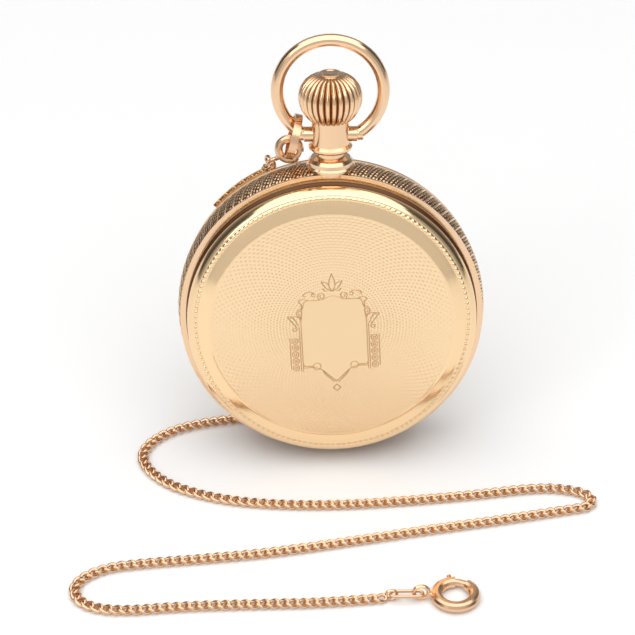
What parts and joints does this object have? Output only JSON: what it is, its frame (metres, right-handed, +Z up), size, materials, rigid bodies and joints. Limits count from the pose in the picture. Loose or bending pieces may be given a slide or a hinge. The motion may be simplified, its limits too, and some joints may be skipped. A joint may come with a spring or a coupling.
{
  "type": "hunter pocket watch",
  "caption": "Hunting-case pocket watch with hinged covers, fluted crown, bow and a curb chain ending in a spring ring clasp.",
  "frame": {"origin": "on the table, under the middle of the case's footprint", "axes": "+Z up, the watch's front towards -Y, +X to the right of someone facing the front"},
  "size_m": [0.0697, 0.0542, 0.0588],
  "materials": {
    "gold_case": "polished yellow gold, engraved",
    "gold_chain": "polished rose-tinted gold",
    "gilt_movement": "frosted gilt",
    "steel": "polished steel",
    "hands": "blued steel",
    "crystal": "clear",
    "enamel": "white enamel",
    "jewel": "polished"
  },
  "bodies": {
    "case": {"case_band": "gold_case", "pendant": "gold_case", "bezel": "gold_case", "crystal": "crystal", "front_hinge_pin": "steel", "back_hinge_pin": "steel", "stem_sleeve": "steel", "lift_spring": "steel", "lock_spring": "steel", "dial": "enamel", "main_plate": "gilt_movement", "three_quarter_plate": "gilt_movement", "balance_cock": "gilt_movement", "pallet_cock": "gilt_movement", "mainspring": "steel", "hairspring": "steel", "crown_wheel_screw": "steel", "click_spring": "steel", "jewels": "jewel", "plate_screws": "steel", "case_screws": "steel", "bow_ring": "gold_chain", "top_clasp_ring": "gold_chain", "top_jump_ring": "gold_chain", "chain_drop": "gold_chain", "chain_run": "gold_chain", "end_ring": "gold_chain", "long_link": "gold_chain", "clasp_ring": "gold_chain"},
    "front_lid": {"front_cover": "gold_case"},
    "back_lid": {"back_cover": "gold_case"},
    "inner_lid": {"inner_cover": "gold_case"},
    "bow": {"bow": "gold_case"},
    "winder": {"winding_pinion": "steel"},
    "crown": {"crown": "gold_case", "pendant_stem": "steel"},
    "crown_wheel": {"crown_wheel": "steel"},
    "ratchet": {"ratchet_wheel": "steel", "barrel_arbor": "steel", "ratchet_screw": "steel"},
    "barrel": {"barrel": "gilt_movement"},
    "center": {"center_wheel": "gilt_movement", "cannon_pinion": "steel", "minute_hand": "hands"},
    "third": {"third_wheel": "gilt_movement"},
    "fourth": {"fourth_wheel": "gilt_movement", "seconds_hand": "hands"},
    "escape": {"escape_wheel": "steel"},
    "hour": {"hour_wheel": "gilt_movement", "hour_hand": "hands"},
    "minute_works": {"minute_wheel": "gilt_movement"},
    "balance": {"balance_wheel": "gilt_movement"},
    "pallets": {"pallet_fork": "steel"},
    "click": {"click": "steel"},
    "regulator": {"regulator": "steel"},
    "clasp_bolt": {"clasp_bolt": "gold_chain"},
    "top_clasp_bolt": {"top_clasp_bolt": "gold_chain"}
  },
  "joints": [
    {"name": "front_cover_hinge", "type": "hinge", "parent": "case", "child": "front_lid", "pos_m": [0, -0.00603, 0.00163], "axis": [1, 0, 0], "range_deg": [0, 75], "deforming": ["lift_spring"]},
    {"name": "back_cover_hinge", "type": "hinge", "parent": "case", "child": "back_lid", "pos_m": [0, -0.0001, 0.00069], "axis": [-1, 0, 0], "range_deg": [0, 75], "deforming": ["chain_drop"]},
    {"name": "inner_cover_hinge", "type": "hinge", "parent": "case", "child": "inner_lid", "pos_m": [0, -0.0001, 0.00069], "axis": [-1, 0, 0], "range_deg": [0, 65]},
    {"name": "bow_swing", "type": "hinge", "parent": "case", "child": "bow", "pos_m": [0, 0.0039, 0.04511], "axis": [1, 0, 0], "range_deg": [-70, 75]},
    {"name": "winding_turn", "type": "hinge", "parent": "case", "child": "winder", "pos_m": [0, 0.00219, 0.03435], "axis": [0, 0.1564, 0.9877], "continuous": true},
    {"name": "crown_slide", "type": "slide", "parent": "winder", "child": "crown", "axis": [0, 0.1564, 0.9877], "range_m": [-0.0004, 0.0008], "stiffness_N_per_m": 200, "deforming": ["lock_spring"]},
    {"name": "crown_wheel_turn", "type": "hinge", "parent": "case", "child": "crown_wheel", "pos_m": [0, 0.00436, 0.02884], "axis": [0, -0.9877, 0.1564], "continuous": true},
    {"name": "ratchet_turn", "type": "hinge", "parent": "case", "child": "ratchet", "pos_m": [-0.00661, 0.00334, 0.02245], "axis": [0, -0.9877, 0.1564], "continuous": true, "deforming": ["mainspring"]},
    {"name": "seconds_turn", "type": "hinge", "parent": "case", "child": "fourth", "pos_m": [0.0075, 0, 0.02052], "axis": [0, -0.9877, 0.1564], "continuous": true},
    {"name": "third_turn", "type": "hinge", "parent": "case", "child": "third", "pos_m": [0.00444, 0.0006, 0.02428], "axis": [0, -0.9877, 0.1564], "continuous": true},
    {"name": "center_turn", "type": "hinge", "parent": "case", "child": "center", "pos_m": [0, 0, 0.02052], "axis": [0, -0.9877, 0.1564], "continuous": true},
    {"name": "hour_turn", "type": "hinge", "parent": "case", "child": "hour", "pos_m": [0, -0.00198, 0.02083], "axis": [0, -0.9877, 0.1564], "continuous": true},
    {"name": "minute_works_turn", "type": "hinge", "parent": "case", "child": "minute_works", "pos_m": [-0.00326, -0.00172, 0.01925], "axis": [0, -0.9877, 0.1564], "continuous": true},
    {"name": "barrel_turn", "type": "hinge", "parent": "case", "child": "barrel", "pos_m": [-0.00661, 0.00137, 0.02276], "axis": [0, -0.9877, 0.1564], "continuous": true},
    {"name": "escape_turn", "type": "hinge", "parent": "case", "child": "escape", "pos_m": [0.0074, 0.00039, 0.01656], "axis": [0, -0.9877, 0.1564], "continuous": true},
    {"name": "balance_swing", "type": "hinge", "parent": "case", "child": "balance", "pos_m": [0.0018, 0.00009, 0.01149], "axis": [0, -0.9877, 0.1564], "range_deg": [-150, 150], "stiffness_Nm_per_rad": 0.0000012, "deforming": ["hairspring"]},
    {"name": "pallet_swing", "type": "hinge", "parent": "case", "child": "pallets", "pos_m": [0.0054, 0.0001, 0.01477], "axis": [0, -0.9877, 0.1564], "range_deg": [-5, 5]},
    {"name": "click_swing", "type": "hinge", "parent": "case", "child": "click", "pos_m": [-0.0132, 0.00337, 0.02004], "axis": [0, -0.9877, 0.1564], "range_deg": [-10, 0], "stiffness_Nm_per_rad": 0.0001},
    {"name": "regulator_swing", "type": "hinge", "parent": "case", "child": "regulator", "pos_m": [0.0018, 0.00167, 0.01124], "axis": [0, -0.9877, 0.1564], "range_deg": [-25, 25]},
    {"name": "clasp_bolt_slide", "type": "hinge", "parent": "case", "child": "clasp_bolt", "pos_m": [0.0151, -0.03715, 0.00075], "axis": [0, 0, 1], "range_deg": [0, 42], "stiffness_Nm_per_rad": 0.0002},
    {"name": "top_clasp_bolt_slide", "type": "hinge", "parent": "case", "child": "top_clasp_bolt", "pos_m": [-0.00544, 0.00485, 0.04231], "axis": [0.061, 0.9565, -0.2852], "range_deg": [0, 42], "stiffness_Nm_per_rad": 0.0002}
  ],
  "couplings": [
    {"joint": "inner_cover_hinge", "follows": "back_cover_hinge", "ratio": 0.85},
    {"joint": "crown_wheel_turn", "follows": "winding_turn", "ratio": 0.66667},
    {"joint": "ratchet_turn", "follows": "winding_turn", "ratio": -0.45455},
    {"joint": "third_turn", "follows": "seconds_turn", "ratio": -0.13333},
    {"joint": "center_turn", "follows": "seconds_turn", "ratio": 0.016667},
    {"joint": "hour_turn", "follows": "seconds_turn", "ratio": 0.0013889},
    {"joint": "minute_works_turn", "follows": "seconds_turn", "ratio": -0.0055556},
    {"joint": "barrel_turn", "follows": "seconds_turn", "ratio": -0.0021368},
    {"joint": "escape_turn", "follows": "seconds_turn", "ratio": -10}
  ]
}
